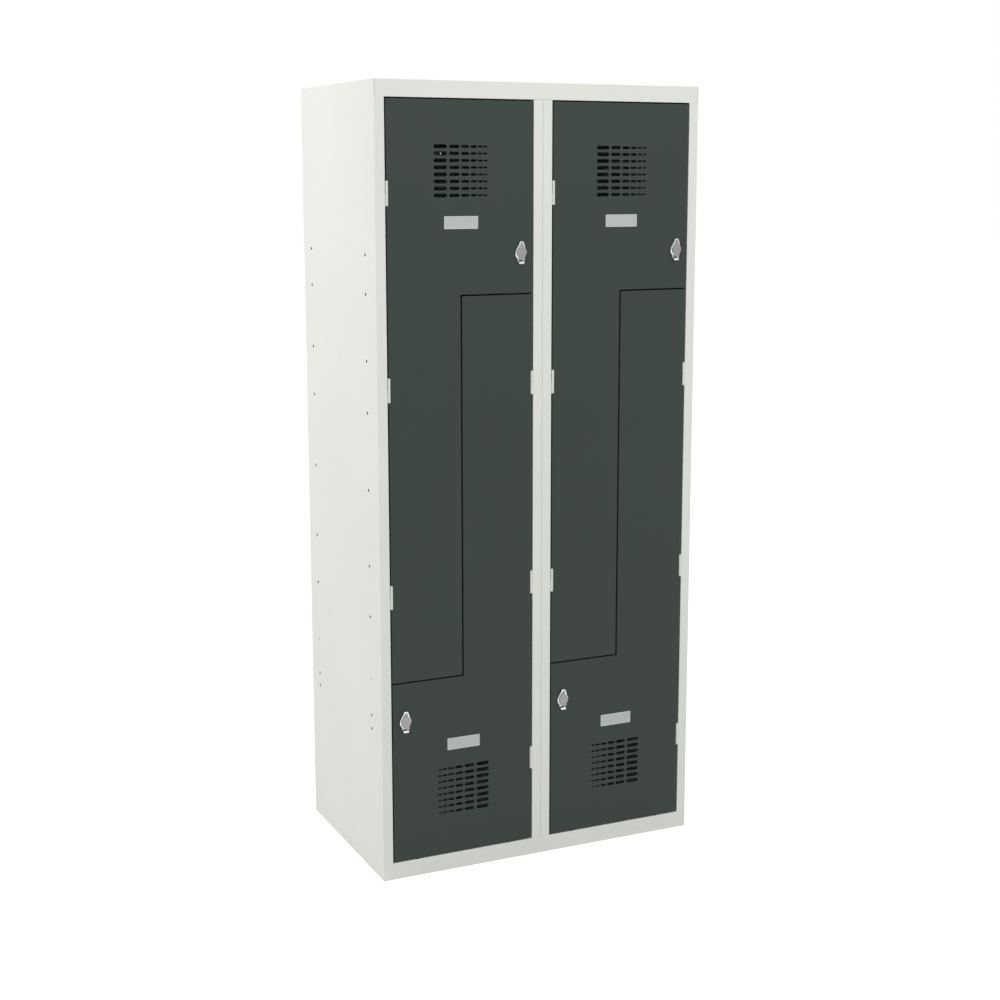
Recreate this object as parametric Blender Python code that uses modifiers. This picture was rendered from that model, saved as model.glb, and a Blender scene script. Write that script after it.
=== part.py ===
"""Sheet-steel Z locker: two sections side by side, each with two interlocking L-shaped doors.

Metres, +X to the right, +Y to the back, +Z up. The origin is on the floor, under the middle of the whole
object, latches included.
"""

import math

import bmesh
import bpy
from mathutils import Matrix, Vector

# Overall size of the carcass, without the hinges and latches that stand proud of its front.
WIDTH = 0.800
DEPTH = 0.490
HEIGHT = 1.800

# Sheet steel, and the clearances between pieces.
SHEET = 0.0008
FOLD_RADIUS = 0.001
CHANNEL_FOLD_STEPS = 2
PAN_FOLD_STEPS = 1
SEAM = 0.0003
OVERRUN = 0.005

# Round surfaces: the largest step on an arc, and the angle up to which faces are shaded as one.
ROUND_STEP = math.radians(15)
SMOOTH_ANGLE = math.radians(40)
MERGE_DISTANCE = 0.00001

# Front frame and the carcass's other folds.
STILE = 0.023
RETURN = 0.018
TOP_RAIL = 0.037
BOTTOM_RAIL = 0.0395
BACK_FLANGE = 0.015

# Doors. Each horizontal split lies SPLIT_RISE above or below the middle of the opening.
SPLIT_RISE = 0.43525
SPLIT_GAP = 0.0035
DOOR_DEPTH = 0.018
DOOR_LIP = 0.010

# Vent slots: each column's slots are the last one's, smaller by one ratio.
VENT_ROWS = 8
VENT_COLUMNS = 6
VENT_PITCH = 0.01501
VENT_DROP = 0.0998
SLOT_LENGTH = 0.031
SLOT_HEIGHT = 0.0084
SLOT_SPACE = 0.0057
SLOT_TAPER_SHARE = 0.78
SLOT_END_SIDES = 3

# Partition in each section.
PARTITION_FLANGE = 0.015
PARTITION_GAP = 0.002

# Side panel holes: two columns, at rows that are shares of the height, and two rows for the partition's
# fixings, of which the upper lies a little above the middle of its flange.
HOLE_RADIUS = 0.003
HOLE_SIDES = 8
HOLE_FRONT = 0.0669
HOLE_BACK = 0.0557
HOLE_RISE_SHARES = (0.1928, 0.2104, 0.3397, 0.405, 0.502, 0.5987, 0.6632, 0.7928)
BOLT_LIFT = 0.0043

# Hinges: a leaf on the stile's return with the pin, and a leaf on the door's edge.
HINGE_HEIGHT = 0.054
HINGE_RADIUS = 0.0028
HINGE_SET = 0.0009
HINGE_LEAF = 0.001
HINGE_LEAF_DEPTH = 0.015
HINGE_PLAY = 0.0004
HINGE_NOTCH_PLAY = 0.001
HINGE_CAP = 0.003
HINGE_END = 0.200
HINGE_MID_RISE = 0.020
PIN_RADIUS = 0.0015
HINGE_SIDES = 12
PIN_SIDES = 8

# Padlock latches: body on the door's face, knob that turns on it, and cam on the knob's spindle.
LATCH_INSET = 0.0297
LATCH_RISE = 0.0893
BODY_THICK = 0.0053
BODY_RADIUS = 0.0143
LUG_THICK = 0.0075
TOP_LUG_REACH = 0.0258
TOP_LUG_HALF = 0.0055
TOP_LUG_ROOT = 0.018
TOP_LUG_ROOT_HALF = 0.008
FOOT_LUG_REACH = 0.0244
FOOT_LUG_HALF = 0.0062
FOOT_LUG_ROOT = 0.0175
FOOT_LUG_ROOT_HALF = 0.0072
EYE_RADIUS = 0.0036
EYE_FOOT_HALF = 0.0046
EYE_FOOT = 0.018
EYE_TOP = 0.0232
BASE_THICK = 0.001
SHACKLE_GAP = 0.0043
SHACKLE_FOOT = 0.0203
STEM_RADIUS = 0.008
STEM_LENGTH = 0.012
SPINDLE_RADIUS = 0.0037
KNOB_HEIGHT = 0.0024
KNOB_RADIUS = 0.0117
KNOB_TIP_REACH = 0.0154
KNOB_TIP_HALF = 0.004
KNOB_FOOT_REACH = 0.0158
KNOB_FOOT_HALF = 0.0053
KNOB_CHAMFER = 0.0008
KNOB_SWEEP_PLAY = 0.0022
CAM_THICK = 0.002
CAM_HALF = 0.008
CAM_GAP = 0.001
CAM_CATCH = 0.009
BARREL_SIDES = 12
KNOB_SWEEP_SIDES = 24

# Label plates.
LABEL_WIDTH = 0.081
LABEL_HEIGHT = 0.028
LABEL_THICK = 0.0012
LABEL_RIM = 0.0025
LABEL_RECESS = 0.0005
LABEL_RISE = 0.158

# Coat rails.
RAIL_RADIUS = 0.0095
RAIL_WALL = 0.0012
RAIL_FLANGE_RADIUS = 0.016
RAIL_FLANGE = 0.003
RAIL_DROP = 0.060
RAIL_SIDES = 14

# Places that follow from the sizes above.
LATCH_PROUD = SEAM + BODY_THICK + SEAM + KNOB_HEIGHT
FRONT_Y = (LATCH_PROUD - DEPTH) / 2
BACK_Y = FRONT_Y + DEPTH
BACK_PANEL_Y = BACK_Y - SHEET - SEAM
INNER_BACK_Y = BACK_PANEL_Y - SHEET - SEAM
INNER_HALF = WIDTH / 2 - SHEET - SEAM
SECTION = WIDTH / 2
OPENING_HALF = SECTION / 2 - STILE
OPENING_TOP = HEIGHT - TOP_RAIL
OPENING_MID = (OPENING_TOP + BOTTOM_RAIL) / 2
DOOR_GAP = 2 * HINGE_LEAF + HINGE_PLAY + 2 * SEAM
DOOR_HALF = OPENING_HALF - DOOR_GAP
DOOR_TOP = OPENING_TOP - OPENING_MID - DOOR_GAP
DOOR_SPLIT = SPLIT_RISE + SPLIT_GAP / 2
DOOR_FOOT = SPLIT_GAP / 2 - SPLIT_RISE
BEHIND_DOORS = max(DOOR_DEPTH, RETURN)
HINGE_X = OPENING_HALF - HINGE_SET - HINGE_RADIUS
HINGE_REACH = HINGE_SET + HINGE_RADIUS - SEAM
HINGE_CLEAR = HINGE_RADIUS + HINGE_PLAY
HINGE_TOP_RISE = DOOR_TOP - HINGE_END
HINGE_FOOT_RISE = DOOR_FOOT + HINGE_END
HINGE_RISES = (HINGE_TOP_RISE, (HINGE_TOP_RISE + HINGE_FOOT_RISE) / 2 + HINGE_MID_RISE, HINGE_FOOT_RISE)
LATCH_X = DOOR_HALF - LATCH_INSET
LATCH_Z = DOOR_SPLIT + LATCH_RISE
LABEL_Z = DOOR_SPLIT + LABEL_RISE
KNOB_REACH = max(math.hypot(KNOB_TIP_REACH, KNOB_TIP_HALF), math.hypot(KNOB_FOOT_REACH, KNOB_FOOT_HALF))
KNOB_SWEEP = KNOB_REACH + KNOB_SWEEP_PLAY
LATCH_FLOOR = SEAM + BASE_THICK
CAM_REACH = OPENING_HALF - LATCH_X + CAM_CATCH
SHELF_RISE = SPLIT_RISE - PARTITION_FLANGE / 2
BOLT_RISES = (OPENING_MID - SPLIT_RISE, OPENING_MID + SPLIT_RISE + BOLT_LIFT)

# Turns a piece drawn flat, with its face up, to stand with its face to the front.
STAND = Matrix.Rotation(math.pi / 2, 4, "X")

SECTIONS = {"left": -SECTION / 2, "right": SECTION / 2}


def linear(colour):
    """Linear colour from an sRGB hex value."""
    parts = [int(colour[i:i + 2], 16) / 255 for i in (1, 3, 5)]
    return [p / 12.92 if p <= 0.04045 else ((p + 0.055) / 1.055) ** 2.4 for p in parts] + [1]


def material(name, colour, roughness, metallic=0):
    """A plain finish for one group of pieces."""
    finish = bpy.data.materials.new(name)
    finish.use_nodes = True
    finish.diffuse_color = linear(colour)
    shader = finish.node_tree.nodes["Principled BSDF"]
    shader.inputs["Base Color"].default_value = linear(colour)
    shader.inputs["Roughness"].default_value = roughness
    shader.inputs["Metallic"].default_value = metallic
    return finish


def mesh_from(bm, name, matrix=None):
    """The mesh that the editing steps made, placed by a matrix if one is given."""
    if matrix:
        bm.transform(matrix)
    mesh = bpy.data.meshes.new(name)
    bm.to_mesh(mesh)
    bm.free()
    return mesh


def moved_verts(result):
    """The vertices that a step of mesh editing made."""
    return [item for item in result["geom"] if isinstance(item, bmesh.types.BMVert)]


def prism(bm, outline, low, high):
    """A flat outline drawn in X and Y, made solid from low to high along Z; returns its top face."""
    face = bm.faces.new([bm.verts.new((x, y, low)) for x, y in outline])
    grown = bmesh.ops.extrude_face_region(bm, geom=[face])
    bmesh.ops.translate(bm, verts=moved_verts(grown), vec=(0, 0, high - low))
    bmesh.ops.recalc_face_normals(bm, faces=bm.faces)
    return next(item for item in grown["geom"] if isinstance(item, bmesh.types.BMFace))


def box(bm, low, high):
    """A box between two corners."""
    size = [b - a for a, b in zip(low, high)]
    centre = [(a + b) / 2 for a, b in zip(low, high)]
    bmesh.ops.create_cube(bm, size=1, matrix=Matrix.Translation(centre) @ Matrix.Diagonal((*size, 1)))


def cylinder(bm, radius, sides, low, high, centre=(0, 0)):
    """An upright cylinder from low to high."""
    place = Matrix.Translation((*centre, (low + high) / 2))
    bmesh.ops.create_cone(bm, cap_ends=True, segments=sides, radius1=radius, radius2=radius,
                          depth=high - low, matrix=place)


def strip_mesh(name, path, sweep, outward):
    """An open folded sheet: a path of corners carried along a straight sweep, its first face to outward."""
    bm = bmesh.new()
    corners = [bm.verts.new(point) for point in path]
    edges = [bm.edges.new(pair) for pair in zip(corners, corners[1:])]
    grown = bmesh.ops.extrude_edge_only(bm, edges=edges)
    bmesh.ops.translate(bm, verts=moved_verts(grown), vec=sweep)
    bmesh.ops.recalc_face_normals(bm, faces=bm.faces)
    first = edges[0].link_faces[0]
    if first.normal.dot(Vector(outward)) < 0:
        bmesh.ops.reverse_faces(bm, faces=bm.faces)
    return mesh_from(bm, name)


def pan_mesh(name, outline, wall, lip, matrix):
    """An open tray: a face, a wall folded down all round it, and a lip folded in from the wall's edge."""
    bm = bmesh.new()
    prism(bm, outline, -wall, 0)
    under = min(bm.faces, key=lambda face: face.calc_center_median().z)
    bmesh.ops.inset_region(bm, faces=[under], thickness=lip, use_even_offset=True, use_boundary=True)
    bmesh.ops.delete(bm, geom=[under], context="FACES_ONLY")
    return mesh_from(bm, name, matrix)


def arc(centre, radius, start, end):
    """Points on an arc, both ends included, in steps of about ROUND_STEP."""
    steps = max(2, round(abs(end - start) / ROUND_STEP))
    angles = [start + (end - start) * i / steps for i in range(steps + 1)]
    return [(centre[0] + radius * math.cos(a), centre[1] + radius * math.sin(a)) for a in angles]


def tangent_angle(corner, centre, radius, side):
    """Where a line from a corner outside a circle touches it, on the given side of the corner."""
    x, y = corner[0] - centre[0], corner[1] - centre[1]
    return math.atan2(y, x) + side * math.acos(radius / math.hypot(x, y))


def mirrored(right_side):
    """A whole outline from its right half, given from foot to top."""
    return right_side + [(-x, y) for x, y in reversed(right_side)]


def piece(name, mesh, finish, parent=None, place=(0, 0, 0), turn=(0, 0, 0)):
    """One named piece. Its place is in the locker's frame, also when it hangs on a parent."""
    thing = bpy.data.objects.new(name, mesh)
    PIECES.objects.link(thing)
    mesh.materials.clear()
    mesh.materials.append(finish)
    hang(thing, parent, place)
    thing.rotation_euler = turn
    return thing


def hang(thing, parent, place):
    """Puts an object at a place in the locker's frame, under its parent."""
    thing.location = Vector(place)
    if parent:
        thing.parent = parent
        thing.location -= axis_place(parent)


def axis_place(parent):
    """Where a parent stands in the locker's frame."""
    return parent.location + (axis_place(parent.parent) if parent.parent else Vector())


def axis_empty(name, place, parent=None):
    """An empty on a joint's axis, which carries the pieces that turn about it."""
    empty = bpy.data.objects.new(name, None)
    PIECES.objects.link(empty)
    hang(empty, parent, place)
    return empty


def guide(name, mesh, like):
    """A shape that cuts or joins a piece, in the piece's own place."""
    thing = bpy.data.objects.new(name, mesh)
    CUTTERS.objects.link(thing)
    thing.parent = like.parent
    thing.location = like.location
    thing.rotation_euler = like.rotation_euler
    thing.hide_render = True
    thing.display_type = "WIRE"
    return thing


def boolean(thing, mesh, operation):
    """Cuts a piece by a mesh, or joins the mesh to it."""
    step = thing.modifiers.new(mesh.name, "BOOLEAN")
    step.operation = operation
    step.object = guide(f"{thing.name}.{mesh.name}", mesh, thing)


def fold(thing, segments, offset=-1):
    """Rounds the folds of an open sheet and gives it its thickness, inwards, or both ways at offset 0."""
    bend = thing.modifiers.new("bend", "BEVEL")
    bend.width = FOLD_RADIUS
    bend.segments = segments
    bend.limit_method = "ANGLE"
    gauge = thing.modifiers.new("gauge", "SOLIDIFY")
    gauge.thickness = SHEET
    gauge.use_even_offset = True
    gauge.offset = offset


def rounded(mesh):
    """A round piece's mesh, shaded smooth with its sharp edges kept."""
    mesh.shade_smooth()
    mesh.set_sharp_from_angle(angle=SMOOTH_ANGLE)
    return mesh


def channel_path(wall_x, stile_x, flange_x, back_y):
    """An upright panel's outline from above: return, stile, wall and back flange."""
    return [(stile_x, FRONT_Y + RETURN), (stile_x, FRONT_Y), (wall_x, FRONT_Y), (wall_x, back_y),
            (flange_x, back_y)]


def channel(name, path, bottom, top):
    """An upright panel folded along the given path, from bottom to top."""
    corners = [(x, y, bottom) for x, y in path]
    to_opening = (path[0][0] - path[2][0], 0, 0)
    panel = piece(name, strip_mesh(name, corners, (0, 0, top - bottom), to_opening), WHITE)
    fold(panel, CHANNEL_FOLD_STEPS)
    return panel


def side_panel(name, side):
    """Outer wall with its stile, on the left (-1) or right (1)."""
    wall_x = side * WIDTH / 2
    stile_x = wall_x - side * STILE
    flange_x = wall_x - side * BACK_FLANGE
    panel = channel(name, channel_path(wall_x, stile_x, flange_x, BACK_Y), 0, HEIGHT)

    notch = bmesh.new()
    across = sorted((wall_x - side * SHEET, stile_x - side * OVERRUN))
    box(notch, (across[0], FRONT_Y - OVERRUN, OPENING_TOP - SEAM),
        (across[1], FRONT_Y + RETURN + OVERRUN, HEIGHT + OVERRUN))
    boolean(panel, mesh_from(notch, "rail_notch"), "DIFFERENCE")

    along_x = Matrix.Translation((wall_x, 0, 0)) @ Matrix.Rotation(-math.pi / 2, 4, "Y")
    row_rises = [share * HEIGHT for share in HOLE_RISE_SHARES]
    for use, rises in (("row_holes", row_rises), ("bolt_holes", BOLT_RISES)):
        holes = bmesh.new()
        for y in (FRONT_Y + HOLE_FRONT, BACK_Y - HOLE_BACK):
            for rise in rises:
                cylinder(holes, HOLE_RADIUS, HOLE_SIDES, -OVERRUN, OVERRUN, (rise, y))
        boolean(panel, mesh_from(holes, use, along_x), "DIFFERENCE")


def centre_panel(name, side):
    """Inner wall of a section, whose flange is half of the mid-post: the left one (-1) or the right (1)."""
    wall_x = side * SEAM / 2
    stile_x = side * STILE
    flange_x = wall_x + side * BACK_FLANGE
    path = channel_path(wall_x, stile_x, flange_x, INNER_BACK_Y)
    panel = channel(name, path, BOTTOM_RAIL + SEAM, HEIGHT - SHEET - SEAM)

    notches = bmesh.new()
    low, high = sorted((-side * OVERRUN, stile_x + side * OVERRUN))
    foot, head = OPENING_TOP - SEAM, HEIGHT + OVERRUN
    box(notches, (low, FRONT_Y - OVERRUN, foot), (high, FRONT_Y + RETURN + SEAM, head))
    box(notches, (low, INNER_BACK_Y - RETURN - SEAM, foot), (high, INNER_BACK_Y + OVERRUN, head))
    boolean(panel, mesh_from(notches, "rail_notches"), "DIFFERENCE")


def top_panel():
    """Pan that closes the top between the side panels; its front fold is the top rail."""
    outline = [(-INNER_HALF, FRONT_Y), (INNER_HALF, FRONT_Y), (INNER_HALF, INNER_BACK_Y),
               (-INNER_HALF, INNER_BACK_Y)]
    mesh = pan_mesh("top_panel", outline, TOP_RAIL, RETURN, Matrix.Translation((0, 0, HEIGHT)))
    fold(piece("top_panel", mesh, WHITE), PAN_FOLD_STEPS)


def bottom_panel():
    """Pan that is the floor. Its front fold is the bottom rail, between the stiles, and its lip stands
    on the ground. Its front corners are stepped back behind the stiles' returns."""
    rail_half = WIDTH / 2 - STILE - SEAM
    notch_y = FRONT_Y + RETURN + SEAM + FOLD_RADIUS
    outline = [(-INNER_HALF, notch_y), (-rail_half, notch_y), (-rail_half, FRONT_Y), (rail_half, FRONT_Y),
               (rail_half, notch_y), (INNER_HALF, notch_y), (INNER_HALF, INNER_BACK_Y),
               (-INNER_HALF, INNER_BACK_Y)]
    place = Matrix.Translation((0, 0, BOTTOM_RAIL))
    mesh = pan_mesh("bottom_panel", outline, BOTTOM_RAIL, RETURN, place)
    fold(piece("bottom_panel", mesh, WHITE), PAN_FOLD_STEPS)


def back_panel():
    """Flat sheet held between the side panels' back flanges and the rest."""
    bm = bmesh.new()
    box(bm, (-INNER_HALF, BACK_PANEL_Y - SHEET, 0), (INNER_HALF, BACK_PANEL_Y, HEIGHT))
    piece("back_panel", mesh_from(bm, "back_panel"), WHITE)


def partition(name, low_x, mid_x, high_x):
    """Z-shaped sheet: a shelf to the left wall, an upright, a shelf to the right wall, and end flanges."""
    front_y = FRONT_Y + BEHIND_DOORS + PARTITION_GAP
    back_y = INNER_BACK_Y - SHEET - SEAM
    low_z, high_z = OPENING_MID - SHELF_RISE, OPENING_MID + SHELF_RISE
    path = [(low_x, low_z - PARTITION_FLANGE), (low_x, low_z), (mid_x, low_z), (mid_x, high_z),
            (high_x, high_z), (high_x, high_z + PARTITION_FLANGE)]
    corners = [(x, front_y, z) for x, z in path]
    sheet = piece(name, strip_mesh(name, corners, (0, back_y - front_y, 0), (-1, 0, 0)), WHITE)
    fold(sheet, CHANNEL_FOLD_STEPS, 0)


def coat_rail(name, low_x, high_x, height):
    """Tube with a fixing flange at each end, from wall to wall."""
    half = (high_x - low_x) / 2 - SEAM
    outer = [(RAIL_FLANGE_RADIUS, half), (RAIL_FLANGE_RADIUS, half - RAIL_FLANGE),
             (RAIL_RADIUS, half - RAIL_FLANGE), (RAIL_RADIUS, RAIL_FLANGE - half),
             (RAIL_FLANGE_RADIUS, RAIL_FLANGE - half), (RAIL_FLANGE_RADIUS, -half)]
    bore = [(RAIL_RADIUS - RAIL_WALL, -half), (RAIL_RADIUS - RAIL_WALL, half)]
    bm = bmesh.new()
    profile = [bm.verts.new((x, 0, z)) for x, z in outer + bore]
    for pair in zip(profile, profile[1:] + profile[:1]):
        bm.edges.new(pair)
    place = ((low_x + high_x) / 2, (FRONT_Y + INNER_BACK_Y) / 2, height)
    rail = piece(name, mesh_from(bm, name), ZINC, None, place, (0, math.pi / 2, 0))
    turned = rail.modifiers.new("turned", "SCREW")
    turned.steps = RAIL_SIDES
    turned.render_steps = RAIL_SIDES
    turned.use_merge_vertices = True
    turned.merge_threshold = MERGE_DISTANCE


def hinge_outline(knuckle_low, knuckle_high):
    """A hinge leaf seen from the side, in Y and Z: full height at the back, knuckle height at the front."""
    half = HINGE_HEIGHT / 2
    points = [(HINGE_LEAF_DEPTH, -half), (HINGE_LEAF_DEPTH, half), (HINGE_CLEAR, half)]
    if knuckle_high < half:
        points += [(HINGE_CLEAR, knuckle_high), (0, knuckle_high), (0, knuckle_low)]
    else:
        points = points[:-1] + [(0, knuckle_high), (0, knuckle_low), (HINGE_CLEAR, knuckle_low),
                                (HINGE_CLEAR, -half)]
    return points


def leaf_mesh(name, outline, inner_x, outer_x):
    """A hinge leaf between two distances from the pin's axis."""
    bm = bmesh.new()
    prism(bm, outline, min(inner_x, outer_x), max(inner_x, outer_x))
    axes = Matrix(((0, 0, 1, 0), (1, 0, 0, 0), (0, 1, 0, 0), (0, 0, 0, 1)))
    return mesh_from(bm, name, axes)


def frame_leaf(name, side, place):
    """Hinge half on the stile's return, with the lower knuckle and the pin."""
    half = HINGE_HEIGHT / 2
    outline = hinge_outline(-half, -SEAM / 2)
    mesh = leaf_mesh(name, outline, side * (HINGE_REACH - HINGE_LEAF), side * HINGE_REACH)
    leaf = piece(name, mesh, WHITE, None, place)
    knuckle = bmesh.new()
    cylinder(knuckle, HINGE_RADIUS, HINGE_SIDES, -half, -SEAM / 2)
    boolean(leaf, rounded(mesh_from(knuckle, "knuckle")), "UNION")
    pin = bmesh.new()
    cylinder(pin, PIN_RADIUS, PIN_SIDES, -HINGE_CAP, half - HINGE_CAP - HINGE_PLAY)
    boolean(leaf, rounded(mesh_from(pin, "pin")), "UNION")


def door_leaf(name, side, place, parent):
    """Hinge half on the door's edge, with the upper knuckle, which drops over the pin."""
    half = HINGE_HEIGHT / 2
    outline = hinge_outline(SEAM / 2, half)
    far = HINGE_REACH - HINGE_LEAF - HINGE_PLAY
    mesh = leaf_mesh(name, outline, side * (far - HINGE_LEAF), side * far)
    leaf = piece(name, mesh, WHITE, parent, place)
    knuckle = bmesh.new()
    cylinder(knuckle, HINGE_RADIUS, HINGE_SIDES, SEAM / 2, half)
    boolean(leaf, rounded(mesh_from(knuckle, "knuckle")), "UNION")
    bore = bmesh.new()
    cylinder(bore, PIN_RADIUS + HINGE_PLAY, PIN_SIDES, -OVERRUN, half - HINGE_CAP)
    boolean(leaf, rounded(mesh_from(bore, "bore")), "DIFFERENCE")


def stadium(left, length, height, rise):
    """A slot with round ends, each of SLOT_END_SIDES straight sides."""
    radius = height / 2
    ends = ((left + length - radius, -math.pi / 2), (left + radius, math.pi / 2))
    points = []
    for x, start in ends:
        angles = [start + math.pi * i / SLOT_END_SIDES for i in range(SLOT_END_SIDES + 1)]
        points += [(x + radius * math.cos(a), rise + radius * math.sin(a)) for a in angles]
    return points


def vent_slots():
    """Rows of slots, each row's slots and spaces shrinking by one ratio; centred on the section."""
    scales = [SLOT_TAPER_SHARE ** column for column in range(VENT_COLUMNS)]
    span = SLOT_LENGTH * sum(scales) + SLOT_SPACE * sum(scales[:-1])
    slots = []
    for row in range(VENT_ROWS):
        left = -span / 2
        rise = DOOR_TOP - VENT_DROP - row * VENT_PITCH
        for scale in scales:
            slots.append(stadium(left, SLOT_LENGTH * scale, SLOT_HEIGHT * scale, rise))
            left += (SLOT_LENGTH + SLOT_SPACE) * scale
    return slots


def door(name, place, turn, parent):
    """L-shaped tray, drawn as an upper door with its hinges on the left; a lower one is turned over."""
    edge = SPLIT_GAP / 2
    outline = [(-DOOR_HALF, DOOR_FOOT), (-edge, DOOR_FOOT), (-edge, DOOR_SPLIT), (DOOR_HALF, DOOR_SPLIT),
               (DOOR_HALF, DOOR_TOP), (-DOOR_HALF, DOOR_TOP)]
    panel = piece(name, pan_mesh(name, outline, DOOR_DEPTH, DOOR_LIP, STAND), DARK, parent, place, turn)
    fold(panel, 1)

    slots = bmesh.new()
    for slot in vent_slots():
        prism(slots, slot, -OVERRUN, OVERRUN)
    boolean(panel, mesh_from(slots, "vents", STAND), "DIFFERENCE")

    hole = bmesh.new()
    cylinder(hole, STEM_RADIUS + SEAM, BARREL_SIDES, -OVERRUN, OVERRUN, (LATCH_X, LATCH_Z))
    boolean(panel, rounded(mesh_from(hole, "latch_hole", STAND)), "DIFFERENCE")

    notches = bmesh.new()
    tall = HINGE_HEIGHT / 2 + HINGE_NOTCH_PLAY
    for rise in HINGE_RISES:
        box(notches, (-DOOR_HALF - OVERRUN, -OVERRUN, rise - tall),
            (HINGE_CLEAR - HINGE_X, HINGE_CLEAR, rise + tall))
    boolean(panel, mesh_from(notches, "hinge_notches"), "DIFFERENCE")


def latch_outline():
    """The latch body from the front: a round middle with straight flanks to a lug above and one below."""
    middle = (0, 0)
    root, foot = (TOP_LUG_ROOT_HALF, TOP_LUG_ROOT), (FOOT_LUG_ROOT_HALF, -FOOT_LUG_ROOT)
    low = tangent_angle(foot, middle, BODY_RADIUS, 1)
    high = tangent_angle(root, middle, BODY_RADIUS, -1)
    right = [(FOOT_LUG_HALF, -FOOT_LUG_REACH), foot] + arc(middle, BODY_RADIUS, low, high)
    return mirrored(right + [root, (TOP_LUG_HALF, TOP_LUG_REACH)])


def latch_body(name, place, parent):
    """Die-cast body on the door's face, with a threaded stem through the door. Its upper lug stands off
    its base, so that a padlock's shackle goes in at the eye and out behind the lug."""
    bm = bmesh.new()
    prism(bm, latch_outline(), SEAM, SEAM + LUG_THICK)
    body = piece(name, rounded(mesh_from(bm, name, STAND)), CHROME, parent, place)

    recess = bmesh.new()
    cylinder(recess, KNOB_SWEEP, KNOB_SWEEP_SIDES, SEAM + BODY_THICK, SEAM + LUG_THICK + OVERRUN)
    boolean(body, rounded(mesh_from(recess, "recess", STAND)), "DIFFERENCE")

    gap = bmesh.new()
    wide = TOP_LUG_ROOT_HALF + OVERRUN
    box(gap, (-wide, SHACKLE_FOOT, LATCH_FLOOR), (wide, TOP_LUG_REACH + OVERRUN, LATCH_FLOOR + SHACKLE_GAP))
    boolean(body, mesh_from(gap, "shackle_gap", STAND), "DIFFERENCE")

    stem = bmesh.new()
    cylinder(stem, STEM_RADIUS, BARREL_SIDES, -STEM_LENGTH, SEAM + BODY_THICK / 2)
    boolean(body, rounded(mesh_from(stem, "stem", STAND)), "UNION")

    bores = bmesh.new()
    cylinder(bores, SPINDLE_RADIUS + SEAM, BARREL_SIDES, -STEM_LENGTH - OVERRUN, SEAM + LUG_THICK)
    sill = [(-EYE_FOOT_HALF, EYE_FOOT), (EYE_FOOT_HALF, EYE_FOOT)]
    eye = sill + arc((0, EYE_TOP - EYE_RADIUS), EYE_RADIUS, 0, math.pi)
    prism(bores, eye, LATCH_FLOOR, SEAM + LUG_THICK + OVERRUN)
    boolean(body, rounded(mesh_from(bores, "bores", STAND)), "DIFFERENCE")


def knob_outline():
    """The knob from the front: a round middle with straight flanks to a blunt tip and a blunt foot."""
    middle = (0, 0)
    tip, foot = (KNOB_TIP_HALF, KNOB_TIP_REACH), (KNOB_FOOT_HALF, -KNOB_FOOT_REACH)
    low = tangent_angle(foot, middle, KNOB_RADIUS, 1)
    high = tangent_angle(tip, middle, KNOB_RADIUS, -1)
    return mirrored([foot] + arc(middle, KNOB_RADIUS, low, high) + [tip])


def latch_knob(name, place, parent):
    """Knob with a chamfered face, on a spindle that reaches through the body and the door."""
    seat = SEAM + BODY_THICK + SEAM
    bm = bmesh.new()
    face = prism(bm, knob_outline(), seat, LATCH_PROUD)
    bmesh.ops.bevel(bm, geom=list(face.edges), offset=KNOB_CHAMFER, segments=1, affect="EDGES")
    knob = piece(name, rounded(mesh_from(bm, name, STAND)), CHROME, parent, place)

    spindle = bmesh.new()
    end = BEHIND_DOORS + CAM_GAP + CAM_THICK + SEAM
    cylinder(spindle, SPINDLE_RADIUS, BARREL_SIDES, -end, seat + KNOB_HEIGHT / 2)
    boolean(knob, rounded(mesh_from(spindle, "spindle", STAND)), "UNION")


def latch_cam(name, place, parent):
    """Flat cam on the spindle's inner end, hanging down until the knob is turned to the side."""
    eye = (0, 0)
    tip = (CAM_HALF, -CAM_REACH)
    outline = arc(eye, CAM_HALF, 0, math.pi) + [(-CAM_HALF, -CAM_REACH), tip]
    near = -BEHIND_DOORS - CAM_GAP
    bm = bmesh.new()
    prism(bm, outline, near - CAM_THICK, near)
    cam = piece(name, rounded(mesh_from(bm, name, STAND)), ZINC, parent, place)
    hole = bmesh.new()
    cylinder(hole, SPINDLE_RADIUS + SEAM, BARREL_SIDES, near - CAM_THICK - OVERRUN, near + CAM_GAP)
    boolean(cam, rounded(mesh_from(hole, "spindle_hole", STAND)), "DIFFERENCE")


def label(name, place, parent):
    """Blank plate with a raised rim, on the door's face."""
    bm = bmesh.new()
    half_x, half_y = LABEL_WIDTH / 2, LABEL_HEIGHT / 2
    outline = [(-half_x, -half_y), (half_x, -half_y), (half_x, half_y), (-half_x, half_y)]
    face = prism(bm, outline, SEAM, SEAM + LABEL_THICK)
    bmesh.ops.inset_region(bm, faces=[face], thickness=LABEL_RIM, use_even_offset=True)
    sunk = bmesh.ops.extrude_face_region(bm, geom=[face])
    bmesh.ops.delete(bm, geom=[face], context="FACES_ONLY")
    bmesh.ops.translate(bm, verts=moved_verts(sunk), vec=(0, 0, -LABEL_RECESS))
    bmesh.ops.recalc_face_normals(bm, faces=bm.faces)
    piece(name, mesh_from(bm, name, STAND), PLATE, parent, place)


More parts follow.
